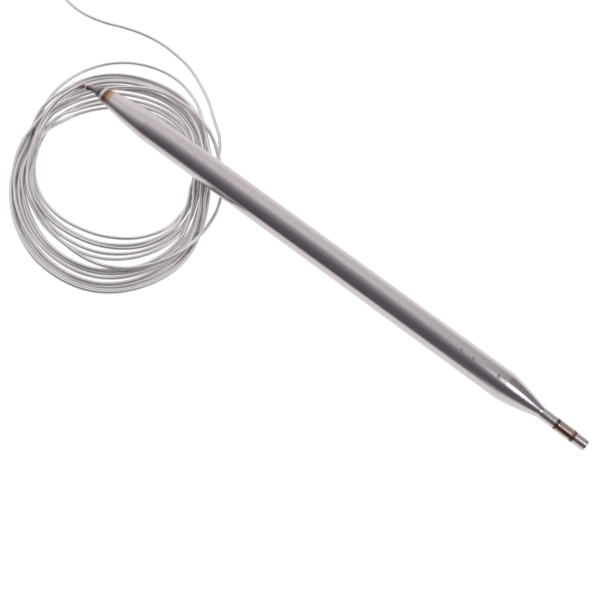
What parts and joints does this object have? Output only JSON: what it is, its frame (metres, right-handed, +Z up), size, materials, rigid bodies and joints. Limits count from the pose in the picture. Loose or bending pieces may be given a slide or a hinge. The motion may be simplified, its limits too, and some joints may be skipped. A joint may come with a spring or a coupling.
{
  "type": "capillary temperature sensor",
  "caption": "Liquid-filled temperature sensor: a swaged steel bulb with a pinched neck, a long coiled capillary, and a round diaphragm element with a thrust button.",
  "frame": {"origin": "on the surface that it lies on, under the middle of the bulb's box (from the capillary's weld to the end of the neck)", "axes": "+X along the bulb in plan, towards its sealed neck; +Z up; the bulb slopes down by 2.6 degrees towards +X because its other end lies over the coil"},
  "size_m": [0.2832, 0.1088, 0.016],
  "materials": {
    "bulb_steel": "satin drawn stainless tube, heat tint behind the mouth and at the pinch",
    "capillary_steel": "drawn stainless capillary, fine lengthwise lines",
    "ferrule_steel": "oxidised dark grey steel",
    "weld_metal": "pale weld bead with straw tint",
    "fill_liquid": null,
    "element_steel": "turned stainless steel",
    "diaphragm_steel": "bright pressed stainless foil",
    "braze": "dull braze fillet",
    "button_brass": "turned brass"
  },
  "bodies": {
    "sensor": {"bulb_shell": "bulb_steel", "bulb_fluid": "fill_liquid", "neck_seal": "weld_metal", "capillary_ferrule": "ferrule_steel", "mouth_weld": "weld_metal", "capillary_bulb_end": "capillary_steel", "capillary_weld": "weld_metal", "capillary_lead": "capillary_steel", "capillary_coil": "capillary_steel", "capillary_tail": "capillary_steel", "element_base": "element_steel", "element_inlet": "element_steel", "inlet_braze": "braze", "capillary_element_end": "capillary_steel", "diaphragm": "diaphragm_steel", "rim_weld": "weld_metal"},
    "button": {"thrust_button": "button_brass"}
  },
  "joints": [
    {"name": "button_travel", "type": "slide", "parent": "sensor", "child": "button", "axis": [0, 0, 1], "range_m": [0, 0.0006], "stiffness_N_per_m": 60, "deforming": ["diaphragm"]}
  ]
}
